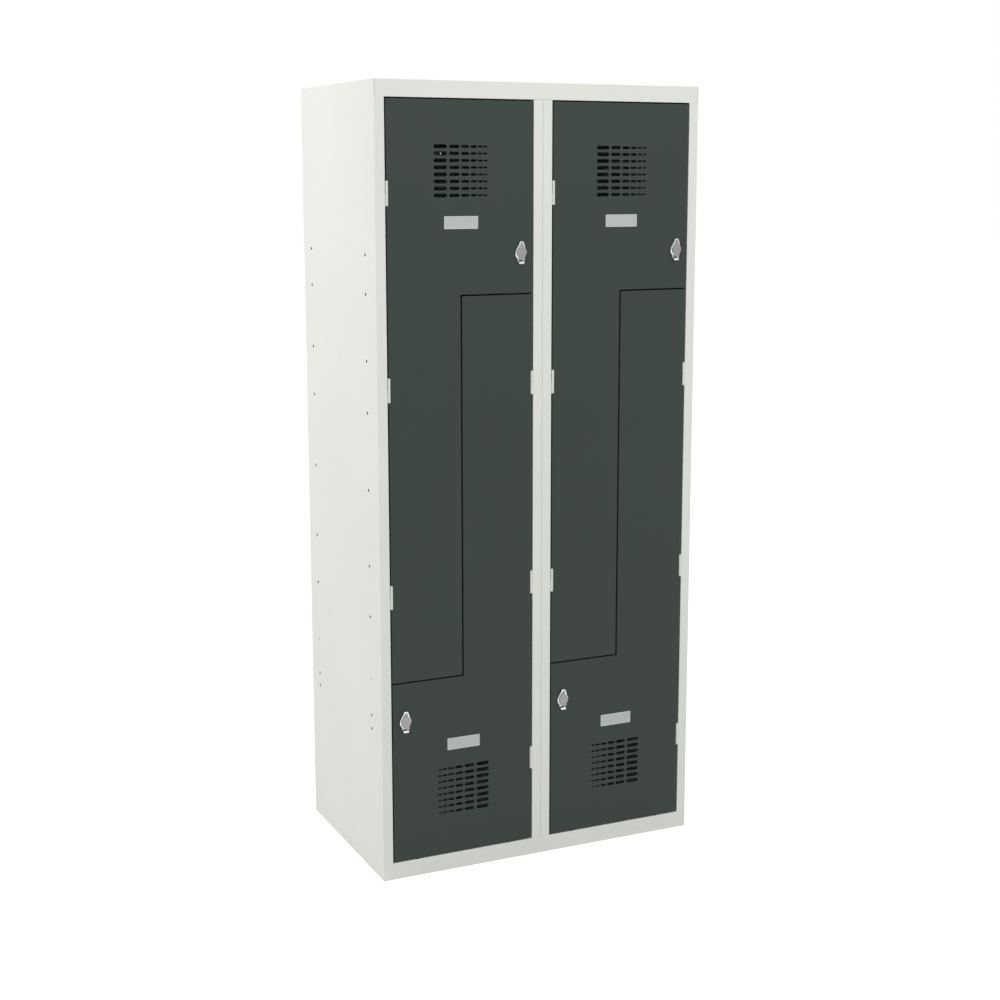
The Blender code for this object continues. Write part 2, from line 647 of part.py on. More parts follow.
def hung_door(name, section_x, side):
    """A door with its hinges, label and latch: an upper one hinged left (-1), a lower one hinged right."""
    flip = -side
    axis = axis_empty(f"{name}_axis", (section_x + side * HINGE_X, FRONT_Y, OPENING_MID))
    turn = (0, 0, 0) if flip > 0 else (0, math.pi, 0)
    door(name, (section_x, FRONT_Y, OPENING_MID), turn, axis)
    for number, rise in enumerate(HINGE_RISES, 1):
        place = (section_x + side * HINGE_X, FRONT_Y, OPENING_MID + flip * rise)
        frame_leaf(f"{name}_hinge_{number}_frame_leaf", side, place)
        door_leaf(f"{name}_hinge_{number}_door_leaf", side, place, axis)
    label(f"{name}_label", (section_x, FRONT_Y, OPENING_MID + flip * LABEL_Z), axis)

    place = (section_x + flip * LATCH_X, FRONT_Y, OPENING_MID + flip * LATCH_Z)
    latch_body(f"{name}_latch_body", place, axis)
    spindle_axis = axis_empty(f"{name}_latch_axis", place, axis)
    latch_knob(f"{name}_latch_knob", place, spindle_axis)
    latch_cam(f"{name}_latch_cam", place, spindle_axis)


def section(name, section_x):
    """One section's partition, coat rails and two doors."""
    outer, inner = SECTION / 2 - SHEET, SECTION / 2 - SHEET - SEAM / 2
    left_wall = section_x - (outer if section_x < 0 else inner)
    right_wall = section_x + (inner if section_x < 0 else outer)
    skin = SHEET / 2
    partition(f"{name}_partition", left_wall + SEAM + skin, section_x, right_wall - SEAM - skin)
    coat_rail(f"{name}_upper_coat_rail", left_wall, right_wall, OPENING_TOP - RAIL_DROP)
    coat_rail(f"{name}_lower_coat_rail", section_x + skin, right_wall, OPENING_MID + SHELF_RISE - RAIL_DROP)
    hung_door(f"{name}_upper_door", section_x, -1)
    hung_door(f"{name}_lower_door", section_x, 1)


for old in list(bpy.data.objects):
    bpy.data.objects.remove(old, do_unlink=True)

PIECES = bpy.data.collections.new("z_locker")
CUTTERS = bpy.data.collections.new("z_locker_cutters")
for group in (PIECES, CUTTERS):
    bpy.context.scene.collection.children.link(group)

WHITE = material("white_powder_coat", "#E4E6E0", 0.45)
DARK = material("dark_powder_coat", "#46504B", 0.45)
CHROME = material("chrome_plate", "#C9CACB", 0.18, 1)
ZINC = material("zinc_plated_steel", "#AEB1B4", 0.35, 1)
PLATE = material("label_plate", "#BEBFBE", 0.5)

side_panel("left_side_panel", -1)
side_panel("right_side_panel", 1)
centre_panel("left_centre_panel", -1)
centre_panel("right_centre_panel", 1)
top_panel()
bottom_panel()
back_panel()
for section_name, section_middle in SECTIONS.items():
    section(section_name, section_middle)
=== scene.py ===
"""A Z locker of folded sheet steel: two sections side by side, each with two interlocking L-shaped doors.

Metres, with the origin on the floor under the middle, +X to the right, +Y to the back and +Z up.
"""

import math

import bmesh
import bpy
import numpy as np
from mathutils import Euler, Matrix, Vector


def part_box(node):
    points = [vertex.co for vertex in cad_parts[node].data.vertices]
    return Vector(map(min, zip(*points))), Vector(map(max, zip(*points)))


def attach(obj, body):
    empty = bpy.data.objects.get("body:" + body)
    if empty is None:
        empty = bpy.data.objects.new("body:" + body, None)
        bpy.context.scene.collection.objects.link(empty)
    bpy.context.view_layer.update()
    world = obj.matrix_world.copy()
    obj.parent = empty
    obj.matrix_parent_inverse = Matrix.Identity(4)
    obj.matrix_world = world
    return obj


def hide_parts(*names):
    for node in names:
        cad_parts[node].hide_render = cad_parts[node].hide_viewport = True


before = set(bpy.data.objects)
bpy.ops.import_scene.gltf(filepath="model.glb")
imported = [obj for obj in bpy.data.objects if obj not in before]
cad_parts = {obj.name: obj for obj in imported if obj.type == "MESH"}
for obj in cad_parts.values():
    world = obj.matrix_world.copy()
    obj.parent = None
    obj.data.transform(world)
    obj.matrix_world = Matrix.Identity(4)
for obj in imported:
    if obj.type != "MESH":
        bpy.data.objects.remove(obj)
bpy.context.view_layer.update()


# Side panels. Each is one sheet of 0.8 mm steel, punched with two columns of holes for joining lockers in a
# row. It is folded at the front into a stile with a return, and at the back into a flange, and then
# powder-coated.
SHEET = 0.0008
FOLD_RADIUS = 0.001
FOLD_STEPS = 8
FOLD_SUPPORT = 0.001
SHARP_ANGLE = math.radians(35)
SEAM = 0.0003
STILE = 0.023
RETURN = 0.018
BACK_FLANGE = 0.015
TOP_RAIL = 0.037
HOLE_RADIUS = 0.0038
RIVET_HEAD_RADIUS = 0.004
HOLE_SIDES = 24
HOLE_FRONT = 0.0669
HOLE_BACK = 0.0557
HOLE_RISE_SHARES = (0.1928, 0.2104, 0.3397, 0.405, 0.502, 0.5987, 0.6632, 0.7928)
RIVET_RISES = (0.466, 1.3408)
CUT_OVERRUN = 0.005
ORANGE_PEEL_WIDTH = 0.0022
ORANGE_PEEL_HEIGHT = 0.00004
TONE_WIDTH = 0.35

side_low, side_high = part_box("left_side_panel")
FRONT_Y, BACK_Y = side_low.y, side_high.y
HEIGHT = side_high.z
OPENING_TOP = HEIGHT - TOP_RAIL


def srgb(colour, light=1.0):
    """Linear colour of an sRGB hex value: a part is divided by 12.92 up to 0.04045, and above that it is
    ((part + 0.055) / 1.055) to the power 2.4. light scales the result."""
    part = np.array([int(colour[i:i + 2], 16) for i in (1, 3, 5)]) / 255
    return [*(light * np.where(part <= 0.04045, part / 12.92, ((part + 0.055) / 1.055) ** 2.4)), 1]


def add(tree, kind, settings=None, inputs=None):
    """Adds one node with its settings, and links or sets its inputs."""
    node = tree.nodes.new(kind)
    for name, value in (settings or {}).items():
        setattr(node, name, value)
    for name, value in (inputs or {}).items():
        if isinstance(value, bpy.types.NodeSocket):
            tree.links.new(value, node.inputs[name])
        else:
            node.inputs[name].default_value = value
    return node


def bare_finish(name):
    """A new material, with its node tree and its surface shader."""
    finish = bpy.data.materials.new(name)
    finish.use_nodes = True
    return finish, finish.node_tree, finish.node_tree.nodes["Principled BSDF"]


def powder_coat(name, colour, roughness, sheen):
    """Baked polyester powder: satin, with orange peel about 2 mm wide, and a tone that drifts by 2%. sheen
    is how strongly its clear surface reflects."""
    finish, tree, shader = bare_finish(name)
    place = add(tree, "ShaderNodeTexCoord").outputs["Object"]
    tone = add(tree, "ShaderNodeTexNoise", None, {"Vector": place, "Scale": 1 / TONE_WIDTH, "Detail": 3.0})
    shade = add(tree, "ShaderNodeValToRGB", None, {"Fac": tone.outputs["Fac"]})
    shade.color_ramp.elements[0].position = 0.3
    shade.color_ramp.elements[0].color = srgb(colour, 0.98)
    shade.color_ramp.elements[1].position = 0.7
    shade.color_ramp.elements[1].color = srgb(colour, 1.02)
    tree.links.new(shade.outputs["Color"], shader.inputs["Base Color"])
    peel = add(tree, "ShaderNodeTexNoise", None,
               {"Vector": place, "Scale": 1 / ORANGE_PEEL_WIDTH, "Detail": 1.0, "Roughness": 0.4})
    gloss = add(tree, "ShaderNodeMapRange", None,
                {"Value": peel.outputs["Fac"], "To Min": roughness - 0.04, "To Max": roughness + 0.04})
    tree.links.new(gloss.outputs["Result"], shader.inputs["Roughness"])
    bump = add(tree, "ShaderNodeBump", None,
               {"Height": peel.outputs["Fac"], "Distance": ORANGE_PEEL_HEIGHT, "Strength": 0.6})
    tree.links.new(bump.outputs["Normal"], shader.inputs["Normal"])
    shader.inputs["Specular IOR Level"].default_value = sheen
    return finish


def folded(corners):
    """A line bent at right angles. At a corner P, between the unit directions a and b, a point of the bend
    is P - a r (1 - sin t) + b r (1 - cos t), for t from 0 to 90 degrees. One more point on each flat,
    beyond the bend, keeps the flat's shading flat."""
    corners = np.array(corners, float)
    ahead = np.diff(corners, axis=0)
    ahead /= np.linalg.norm(ahead, axis=1, keepdims=True)
    corner, a, b = corners[1:-1, None], ahead[:-1, None], ahead[1:, None]
    t = np.linspace(0, np.pi / 2, FOLD_STEPS + 1)[None, :, None]
    bend = corner - a * FOLD_RADIUS * (1 - np.sin(t)) + b * FOLD_RADIUS * (1 - np.cos(t))
    reach = FOLD_RADIUS + FOLD_SUPPORT
    bends = np.concatenate([corner - a * reach, bend, corner + b * reach], axis=1)
    return np.vstack([corners[:1], bends.reshape(-1, 2), corners[-1:]])


def parallel(line, gap, closed=False):
    """A line's parallel at a distance to its left. Each point moves by the sum of its two edges' unit
    normals, divided by one plus their dot product."""
    edge = np.roll(line, -1, axis=0) - line
    if not closed:
        edge[-1] = edge[-2]
    edge /= np.linalg.norm(edge, axis=1, keepdims=True)
    after = np.stack([-edge[:, 1], edge[:, 0]], axis=1)
    before = np.roll(after, 1, axis=0)
    if not closed:
        before[0] = after[0]
    return line + gap * (before + after) / (1 + (before * after).sum(axis=1, keepdims=True))


def sheet_profile(corners, skin=0.0):
    """The closed cross-section of a folded sheet, whose gauge lies to the right of the line."""
    line = folded(corners)
    return np.vstack([parallel(line, skin), parallel(line, skin - SHEET)[::-1]])


def loft(rings, joined=False):
    """A surface through a stack of closed outlines: one quad between each pair of neighbours and the pair
    above. The first and last outlines are flat caps, or are joined to each other."""
    rows, columns = rings.shape[:2]
    index = np.arange(rows * columns).reshape(rows, columns)
    low, high = (index, np.roll(index, -1, axis=0)) if joined else (index[:-1], index[1:])
    quads = np.stack([low, np.roll(low, -1, axis=1), np.roll(high, -1, axis=1), high], axis=-1)
    caps = [] if joined else [index[0, ::-1].tolist(), index[-1].tolist()]
    return rings.reshape(-1, 3), quads.reshape(-1, 4).tolist() + caps


def swept(profile, low, high):
    """A flat closed profile carried straight along the third axis."""
    return loft(np.stack([np.insert(np.asarray(profile, float), 2, rise, axis=1) for rise in (low, high)]))


def block(low, high):
    """A box between two corners."""
    outline = [(low[0], low[1]), (high[0], low[1]), (high[0], high[1]), (low[0], high[1])]
    return swept(outline, low[2], high[2])


def turned(profile, sides, joined=False):
    """A profile of radius and height turned about the third axis."""
    radius, height = np.array(profile, float).T[..., None]
    angle = np.arange(sides) * 2 * np.pi / sides
    rings = [radius * np.cos(angle), radius * np.sin(angle), height + 0 * angle]
    return loft(np.stack(rings, axis=-1), joined)


def put(shape, axes=(0, 1, 2), scale=(1, 1, 1), place=(0, 0, 0)):
    """A shape with its axes reordered, then scaled, then moved."""
    return shape[0][:, axes] * scale + np.array(place), shape[1]


def together(shapes):
    """Several shapes as one, with their faces' numbers counted on."""
    starts = np.cumsum([0] + [len(points) for points, _ in shapes])
    faces = [[i + start for i in face] for (_, more), start in zip(shapes, starts) for face in more]
    return np.vstack([points for points, _ in shapes]), faces


def shaded(mesh):
    """Shades a mesh smooth, but for its sharp edges."""
    mesh.shade_smooth()
    mesh.set_sharp_from_angle(angle=SHARP_ANGLE)
    return mesh


def piece(name, mesh, finish):
    """One piece at the origin, with its finish."""
    mesh.materials.clear()
    mesh.materials.append(finish)
    thing = bpy.data.objects.new(name, mesh)
    bpy.context.scene.collection.objects.link(thing)
    return thing


def solid(name, shape, finish):
    """A closed piece. Where its signed volume is negative, its faces are turned round."""
    mesh = bpy.data.meshes.new(name)
    mesh.from_pydata(shape[0].tolist(), [], shape[1])
    shell = bmesh.new()
    shell.from_mesh(mesh)
    if shell.calc_volume(signed=True) < 0:
        mesh.flip_normals()
    shell.free()
    return piece(name, shaded(mesh), finish)


def carve(thing, shape, operation="DIFFERENCE"):
    """Takes a closed shape out of a piece, or joins it on."""
    tool = solid("tool", shape, thing.data.materials[0])
    step = thing.modifiers.new("carve", "BOOLEAN")
    step.object = tool
    step.operation = operation
    settle(thing)
    bpy.data.objects.remove(tool)


def settle(thing):
    """Makes the result of a piece's modifiers its mesh."""
    graph = bpy.context.evaluated_depsgraph_get()
    mesh = bpy.data.meshes.new_from_object(thing.evaluated_get(graph))
    thing.modifiers.clear()
    thing.data = shaded(mesh)


def holes(rises, radius):
    """Drills for the side panels' holes at some heights, in both columns."""
    drill = turned([(radius, -CUT_OVERRUN), (radius, CUT_OVERRUN)], HOLE_SIDES)
    places = [(side_low.x, y, rise) for rise in rises for y in (FRONT_Y + HOLE_FRONT, BACK_Y - HOLE_BACK)]
    return together([put(drill, (2, 0, 1), place=place) for place in places])


white_coat = powder_coat("white_polyester_powder_coat", "#E4E6E0", 0.45, 0.3)

channel = [(side_low.x + STILE, FRONT_Y + RETURN), (side_low.x + STILE, FRONT_Y), (side_low.x, FRONT_Y),
           (side_low.x, BACK_Y), (side_low.x + BACK_FLANGE, BACK_Y)]
rail_notch = block((side_low.x + SHEET, FRONT_Y - CUT_OVERRUN, OPENING_TOP - SEAM),
                   (side_low.x + STILE + CUT_OVERRUN, FRONT_Y + RETURN + CUT_OVERRUN, HEIGHT + CUT_OVERRUN))
for side, mirror in (("left", 1), ("right", -1)):
    flip = (mirror, 1, 1)
    shape = swept(sheet_profile(channel), 0, HEIGHT)
    panel = solid(f"{side}_side_sheet", put(shape, scale=flip), white_coat)
    carve(panel, put(rail_notch, scale=flip))
    carve(panel, put(holes([share * HEIGHT for share in HOLE_RISE_SHARES], HOLE_RADIUS), scale=flip))
    carve(panel, put(holes(RIVET_RISES, RIVET_HEAD_RADIUS), scale=flip))
    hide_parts(f"{side}_side_panel")
    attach(panel, "cabinet")


# Centre panels. The two inner walls stand back to back, and their front flanges make the mid-post with its
# seam. Each is a folded steel sheet, notched for the top pan and coated like the sides.
BOTTOM_RAIL = 0.0395

inner_back_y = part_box("right_centre_panel")[1].y
channel = [(STILE, FRONT_Y + RETURN), (STILE, FRONT_Y), (SEAM / 2, FRONT_Y), (SEAM / 2, inner_back_y),
           (SEAM / 2 + BACK_FLANGE, inner_back_y)]
notch_foot = OPENING_TOP - SEAM
notch_head = HEIGHT + CUT_OVERRUN
front_notch = block((-CUT_OVERRUN, FRONT_Y - CUT_OVERRUN, notch_foot),
                    (STILE + CUT_OVERRUN, FRONT_Y + RETURN + SEAM, notch_head))
back_notch = block((-CUT_OVERRUN, inner_back_y - RETURN - SEAM, notch_foot),
                   (STILE + CUT_OVERRUN, inner_back_y + CUT_OVERRUN, notch_head))
for side, mirror in (("left", -1), ("right", 1)):
    flip = (mirror, 1, 1)
    shape = swept(sheet_profile(channel), BOTTOM_RAIL + SEAM, HEIGHT - SHEET - SEAM)
    panel = solid(f"{side}_centre_sheet", put(shape, scale=flip), white_coat)
    carve(panel, put(front_notch, scale=flip))
    carve(panel, put(back_notch, scale=flip))
    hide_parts(f"{side}_centre_panel")
    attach(panel, "cabinet")


# Top and bottom pans. Each closes an end between the side sheets, and its front fold is a rail of the front
# frame. They are steel sheets, notched, folded all round into a wall and a lip, and spot-welded in place.
# The top one is a little narrower, so that its end joints show.
FACE_INSET = 0.004
TOP_PLAY = 0.0004

pan_half = -side_low.x - SHEET - SEAM
rail_half = -side_low.x - STILE - SEAM
notch_y = FRONT_Y + RETURN + SEAM + FOLD_RADIUS


def stacked(outline, profile):
    """Copies of a closed outline, each inset by mitres and raised as one row of the profile says."""
    outline = np.array(outline, float)
    mitre = parallel(outline, 1, closed=True) - outline
    inset, rise = np.array(profile, float).T
    flat = outline[None] + inset[:, None, None] * mitre[None]
    return np.concatenate([flat, np.broadcast_to(rise[:, None, None], flat.shape[:2] + (1,))], axis=2)


def tray(outline, wall, lip):
    """An open tray of folded sheet, its face at 0 and its wall reaching down to wall. The profile runs from
    the face over its fold, along the wall and into the lip, and back inside at the sheet's gauge."""
    return loft(stacked(outline, sheet_profile([(FACE_INSET, 0), (0, 0), (0, wall), (lip, wall)])))


top_half = pan_half - TOP_PLAY
top_outline = [(-top_half, FRONT_Y), (top_half, FRONT_Y), (top_half, inner_back_y),
               (-top_half, inner_back_y)]
floor_outline = [(-pan_half, notch_y), (-rail_half, notch_y), (-rail_half, FRONT_Y), (rail_half, FRONT_Y),
                 (rail_half, notch_y), (pan_half, notch_y), (pan_half, inner_back_y),
                 (-pan_half, inner_back_y)]
for name, outline, wall, level in (("top", top_outline, TOP_RAIL, HEIGHT),
                                   ("bottom", floor_outline, BOTTOM_RAIL, BOTTOM_RAIL)):
    pan = solid(f"{name}_pan", put(tray(outline, wall, RETURN), scale=(1, 1, -1), place=(0, 0, level)),
                white_coat)
    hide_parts(f"{name}_panel")
    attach(pan, "cabinet")


# Seam fillers. Where a stile meets a rail, the powder coat bridges the bottom of the groove between the two
# folds, so that only a faint line is left.
FILLER_FOOT = 0.0005
FILLER_FRONT = 0.0003
FILLER_REACH = 0.0012

front_y, rear_y = FRONT_Y + FILLER_FRONT, FRONT_Y + FILLER_REACH
for side, mirror in (("left", 1), ("right", -1)):
    for place, low, high in (
            ("bottom", (-rail_half - FILLER_REACH, front_y, FILLER_FOOT),
             (-rail_half + SEAM, rear_y, BOTTOM_RAIL - FOLD_RADIUS)),
            ("top", (side_low.x + FILLER_REACH, front_y, OPENING_TOP - 2 * SEAM),
             (-rail_half, rear_y, OPENING_TOP + FOLD_RADIUS))):
        shape = put(block(low, high), scale=(mirror, 1, 1))
        filler = solid(f"{side}_{place}_seam_filler", shape, white_coat)
        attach(filler, "cabinet")


# Back panel. One flat sheet, held in front of the side panels' back flanges. It is coated like the rest.
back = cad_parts["back_panel"]
for face_slot in back.material_slots:
    face_slot.material = white_coat


# Partitions. In each section one sheet, folded into a Z, divides the two compartments: a shelf to the left
# wall, an upright behind the doors' split, and a shelf to the right wall. Its end flanges are riveted.
PARTITION_FLANGE = 0.015
SECTION_MIDDLES = {"left": -0.2, "right": 0.2}

opening_mid = (OPENING_TOP + BOTTOM_RAIL) / 2
for side, middle in SECTION_MIDDLES.items():
    low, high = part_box(f"{side}_partition")
    half = SHEET / 2
    shelf_low = low.z + PARTITION_FLANGE
    shelf_high = high.z - PARTITION_FLANGE
    path = [(low.x + half, low.z), (low.x + half, shelf_low), (middle, shelf_low), (middle, shelf_high),
            (high.x - half, shelf_high), (high.x - half, high.z)]
    shape = put(swept(sheet_profile(path, half), low.y, high.y), (0, 2, 1))
    partition = solid(f"{side}_partition_sheet", shape, white_coat)
    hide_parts(f"{side}_partition")
    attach(partition, "cabinet")


# Rivets. Aluminium rivets fix the partitions' flanges: a dome inside, and a flat head that is sunk flush in
# the side panel's hole.
CLEARANCE = 0.0001
RIVET_RADIUS = 0.0032
RIVET_RISE = 0.0011
SUNK_DEPTH = 0.0011
SUNK_EDGE = 0.0002
RIVET_SIDES = 24
DRAWN_GRAIN_WIDTH = 0.0004

rivet_metal, tree, shader = bare_finish("drawn_aluminium")
shader.inputs["Metallic"].default_value = 1.0
shader.inputs["Base Color"].default_value = srgb("#A6A8AA")
place = add(tree, "ShaderNodeTexCoord").outputs["Object"]
grain = add(tree, "ShaderNodeTexNoise", None,
            {"Vector": place, "Scale": 1 / DRAWN_GRAIN_WIDTH, "Detail": 2.0})
gloss = add(tree, "ShaderNodeMapRange", None, {"Value": grain.outputs["Fac"], "To Min": 0.3, "To Max": 0.5})
tree.links.new(gloss.outputs["Result"], shader.inputs["Roughness"])

turn = np.linspace(0, np.pi / 2, 7)[:-1]
dome = np.column_stack([RIVET_RADIUS * np.cos(turn), RIVET_RISE * np.sin(turn)])
head = turned(np.vstack([[(RIVET_RADIUS, -SEAM / 2)], dome]), RIVET_SIDES)
sunk_radius = RIVET_HEAD_RADIUS - CLEARANCE
sunk = turned([(sunk_radius, 0), (sunk_radius, SUNK_DEPTH - SUNK_EDGE),
               (sunk_radius - SUNK_EDGE, SUNK_DEPTH)], RIVET_SIDES)
for side in SECTION_MIDDLES:
    low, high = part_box(f"{side}_partition")
    heads = []
    for y in (FRONT_Y + HOLE_FRONT, BACK_Y - HOLE_BACK):
        heads.append(put(head, (2, 0, 1), place=(low.x + SHEET, y, RIVET_RISES[0])))
        heads.append(put(head, (2, 1, 0), (-1, 1, 1), (high.x - SHEET, y, RIVET_RISES[1])))
        if side == "left":
            heads.append(put(sunk, (2, 1, 0), (-1, 1, 1), (low.x, y, RIVET_RISES[0])))
        else:
            heads.append(put(sunk, (2, 0, 1), place=(high.x, y, RIVET_RISES[1])))
    for number, shape in enumerate(heads, 1):
        rivet = solid(f"{side}_rivet_{number}", shape, rivet_metal)
        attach(rivet, "cabinet")


# Coat rails. One in each compartment: a zinc-plated steel tube, cut to length, with a pressed flange at each
# end that is screwed to the wall.
RAIL_RADIUS = 0.0095
RAIL_WALL = 0.0012
RAIL_FLANGE_RADIUS = 0.016
RAIL_FLANGE = 0.003
RAIL_EDGE = 0.0008
RAIL_SIDES = 48


def plated_metal(name, colour, bright, dull, cloud_width):
    """A plated metal: its gloss drifts in clouds of the given width, between bright and dull."""
    finish, tree, shader = bare_finish(name)
    shader.inputs["Metallic"].default_value = 1.0
    place = add(tree, "ShaderNodeTexCoord").outputs["Object"]
    cloud = add(tree, "ShaderNodeTexNoise", None,
                {"Vector": place, "Scale": 1 / cloud_width, "Detail": 4.0})
    gloss = add(tree, "ShaderNodeMapRange", None,
                {"Value": cloud.outputs["Fac"], "To Min": bright, "To Max": dull})
    tree.links.new(gloss.outputs["Result"], shader.inputs["Roughness"])
    shade = add(tree, "ShaderNodeValToRGB", None, {"Fac": cloud.outputs["Fac"]})
    shade.color_ramp.elements[0].color = srgb(colour, 0.94)
    shade.color_ramp.elements[1].color = srgb(colour, 1.06)
    tree.links.new(shade.outputs["Color"], shader.inputs["Base Color"])
    return finish


zinc = plated_metal("bright_zinc_plating", "#AEB1B4", 0.25, 0.42, 0.012)

for name in ("left_upper", "left_lower", "right_upper", "right_lower"):
    low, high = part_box(f"{name}_coat_rail")
    half = (high.x - low.x) / 2
    neck = half - RAIL_FLANGE
    flange = [(RAIL_FLANGE_RADIUS, half), (RAIL_FLANGE_RADIUS, neck + RAIL_EDGE),
              (RAIL_FLANGE_RADIUS - RAIL_EDGE, neck), (RAIL_RADIUS + RAIL_EDGE, neck),
              (RAIL_RADIUS, neck - RAIL_EDGE), (RAIL_RADIUS, neck - 2 * RAIL_EDGE)]
    bore = [(RAIL_RADIUS - RAIL_WALL, -half), (RAIL_RADIUS - RAIL_WALL, half)]
    profile = flange + [(r, -z) for r, z in reversed(flange)] + bore
    centre = [(a + b) / 2 for a, b in zip(low, high)]
    rail = solid(f"{name}_rail", put(turned(profile, RAIL_SIDES, True), (2, 0, 1), place=centre), zinc)
    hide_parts(f"{name}_coat_rail")
    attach(rail, "cabinet")


# Buffers. Two small black rubber buttons under each lower door, pressed into holes in the floor pan's edge,
# which keep the door from ringing on the rail.
BUFFER_RADIUS = 0.0034
BUFFER_HEIGHT = 0.0027
BUFFER_EDGE = 0.0012
BUFFER_BACK = 0.004
BUFFER_REACH = 0.116
BUFFER_SIDES = 28

rubber, tree, shader = bare_finish("black_moulded_rubber")
place = add(tree, "ShaderNodeTexCoord").outputs["Object"]
bloom = add(tree, "ShaderNodeTexNoise", None, {"Vector": place, "Scale": 900.0, "Detail": 3.0})
shade = add(tree, "ShaderNodeValToRGB", None, {"Fac": bloom.outputs["Fac"]})
shade.color_ramp.elements[0].color = srgb("#060606")
shade.color_ramp.elements[1].color = srgb("#0E0E0E")
tree.links.new(shade.outputs["Color"], shader.inputs["Base Color"])
shader.inputs["Roughness"].default_value = 0.7

turn = np.linspace(0, np.pi / 2, 8)[:-1]
cap = np.column_stack([BUFFER_RADIUS - BUFFER_EDGE + BUFFER_EDGE * np.cos(turn),
                       BUFFER_HEIGHT - BUFFER_EDGE + BUFFER_EDGE * np.sin(turn)])
button = turned(np.vstack([[(BUFFER_RADIUS, 0)], cap]), BUFFER_SIDES)
places = [middle + reach for middle in SECTION_MIDDLES.values() for reach in (-BUFFER_REACH, BUFFER_REACH)]
for number, x in enumerate(places, 1):
    shape = put(button, place=(x, FRONT_Y + BUFFER_BACK, BOTTOM_RAIL))
    buffer = solid(f"door_buffer_{number}", shape, rubber)
    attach(buffer, "cabinet")


# Doors. Each is an L-shaped tray of 0.8 mm steel, with its vent slots, latch hole and hinge notches punched
# before it is folded, and a dark powder coat. An upper door turned over makes a lower one, and the two
# interlock.
SPLIT_GAP = 0.0035
DOOR_DEPTH = 0.018
DOOR_LIP = 0.01
VENT_ROWS = 8
VENT_COLUMNS = 6
VENT_PITCH = 0.01501
VENT_DROP = 0.0998
SLOT_LENGTH = 0.031
SLOT_HEIGHT = 0.0084
SLOT_SPACE = 0.0057
SLOT_TAPER = 0.78
SLOT_HEIGHT_TAPER = 0.85
SLOT_END_STEPS = 7
SLOT_BURR = 0.0004
HINGE_RISES = (0.65875, 0.232625, -0.2335)
HINGE_HALF = 0.027
HINGE_RADIUS = 0.0028
HINGE_REACH = 0.0034
HINGE_INSET = 0.0007
HINGE_PLAY = 0.0004
NOTCH_END = 0.001
LATCH_HOLE_RADIUS = 0.0083
LATCH_HOLE_SIDES = 40
LATCH_X = 0.1443
LATCH_Z = 0.5263

DOORS = {f"{side}_{level}_door": (middle, way_up) for side, middle in SECTION_MIDDLES.items()
         for level, way_up in (("upper", 1), ("lower", -1))}
door_low, door_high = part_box("left_upper_door")
DOOR_HALF = (door_high.x - door_low.x) / 2
door_top = door_high.z - opening_mid
door_foot = door_low.z - opening_mid
door_split = SPLIT_GAP - door_foot
HINGE_X = DOOR_HALF - HINGE_INSET


def vent_slots():
    """Outlines of the slots, as an array of rows, columns, points and x, z. Each column is the last one
    times the tapers, and a slot is two half circles joined by straight sides."""
    scale = SLOT_TAPER ** np.arange(VENT_COLUMNS)
    left = np.append(0, np.cumsum((SLOT_LENGTH + SLOT_SPACE) * scale)[:-1])
    left = left - (left[-1] + SLOT_LENGTH * scale[-1]) / 2
    rise = door_top - VENT_DROP - VENT_PITCH * np.arange(VENT_ROWS)
    half_turn = np.linspace(-np.pi / 2, np.pi / 2, SLOT_END_STEPS)
    turn = np.concatenate([half_turn, half_turn + np.pi])
    right_end = np.repeat([1, 0], SLOT_END_STEPS)
    radius = (SLOT_HEIGHT / 2 * SLOT_HEIGHT_TAPER ** np.arange(VENT_COLUMNS))[None, :, None]
    straight = SLOT_LENGTH * scale[None, :, None] - 2 * radius
    x = left[None, :, None] + radius + right_end * straight + radius * np.cos(turn)
    z = rise[:, None, None] + radius * np.sin(turn)
    return np.stack(np.broadcast_arrays(x, z), axis=-1)


def standing(shape):
    """A shape drawn in x, z and depth, put with its face at the front."""
    return put(shape, (0, 2, 1))


dark_coat = powder_coat("dark_polyester_powder_coat", "#3B4441", 0.42, 0.15)

outline = [(-DOOR_HALF, door_foot), (-SPLIT_GAP / 2, door_foot), (-SPLIT_GAP / 2, door_split),
           (DOOR_HALF, door_split), (DOOR_HALF, door_top), (-DOOR_HALF, door_top)]
pattern = solid("door_pattern", standing(tray(outline, DOOR_DEPTH, DOOR_LIP)), dark_coat)
flare = [(-2 * SLOT_BURR, -SLOT_BURR), (0, SLOT_BURR), (0, 4 * SHEET)]
slots = vent_slots().reshape(-1, 2 * SLOT_END_STEPS, 2)
carve(pattern, standing(together([loft(stacked(slot, flare)) for slot in slots])))
latch_hole = turned([(LATCH_HOLE_RADIUS, -CUT_OVERRUN), (LATCH_HOLE_RADIUS, CUT_OVERRUN)], LATCH_HOLE_SIDES)
carve(pattern, standing(put(latch_hole, place=(LATCH_X, LATCH_Z, 0))))
reach = HINGE_RADIUS + HINGE_PLAY
tall = HINGE_HALF + NOTCH_END
carve(pattern, together([block((-DOOR_HALF - CUT_OVERRUN, -CUT_OVERRUN, rise - tall),
                               (reach - HINGE_X, reach, rise + tall)) for rise in HINGE_RISES]))


def hung(name, shape_of, section_x, turned_over):
    """A copy of a door's pattern, put in its section, and turned over for a lower door."""
    mesh = shape_of.data.copy()
    angle = math.pi if turned_over < 0 else 0
    mesh.transform(Matrix.Translation((section_x, FRONT_Y, opening_mid)) @ Matrix.Rotation(angle, 4, "Y"))
    return piece(name, mesh, shape_of.data.materials[0])


for name, (section_x, way_up) in DOORS.items():
    panel = hung(f"{name}_tray", pattern, section_x, way_up)
    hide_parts(name)
    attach(panel, name)
bpy.data.objects.remove(pattern)


